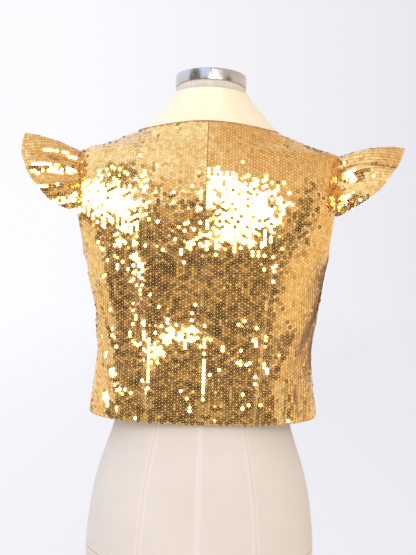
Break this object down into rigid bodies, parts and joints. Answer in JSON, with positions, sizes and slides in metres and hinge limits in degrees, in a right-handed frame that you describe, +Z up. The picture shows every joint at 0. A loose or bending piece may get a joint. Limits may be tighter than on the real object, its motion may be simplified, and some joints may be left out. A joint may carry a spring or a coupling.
{
  "type": "waistcoat on dress form",
  "caption": "Hip-short waistcoat of overlapping gold sequins with gathered flutter sleeves and a plain satin stand collar, shown on a limbless linen dress form with a metal neck cap.",
  "frame": {"origin": "middle of the dress form's flat underside, on the floor", "axes": "+Z up, the garment's front faces -Y, the wearer's left is +X"},
  "size_m": [0.587, 0.2649, 0.8273],
  "materials": {
    "sequin_cloth": "gold-coated cupped sequins sewn in close staggered rows on an olive-gold ground cloth",
    "satin": "smooth cream-yellow satin with a soft sheen",
    "linen": "matt beige plain-weave linen with fine pinkish-beige seam lines",
    "polished_metal": "polished metal with fine brushing round the band"
  },
  "bodies": {
    "root": {"form_body": "linen", "neck_cap": "polished_metal", "cap_plate": "polished_metal", "back_left": "sequin_cloth", "back_right": "sequin_cloth", "front_left": "sequin_cloth", "front_right": "sequin_cloth", "sleeve_left": "sequin_cloth", "sleeve_right": "sequin_cloth", "collar": "satin"}
  },
  "joints": []
}
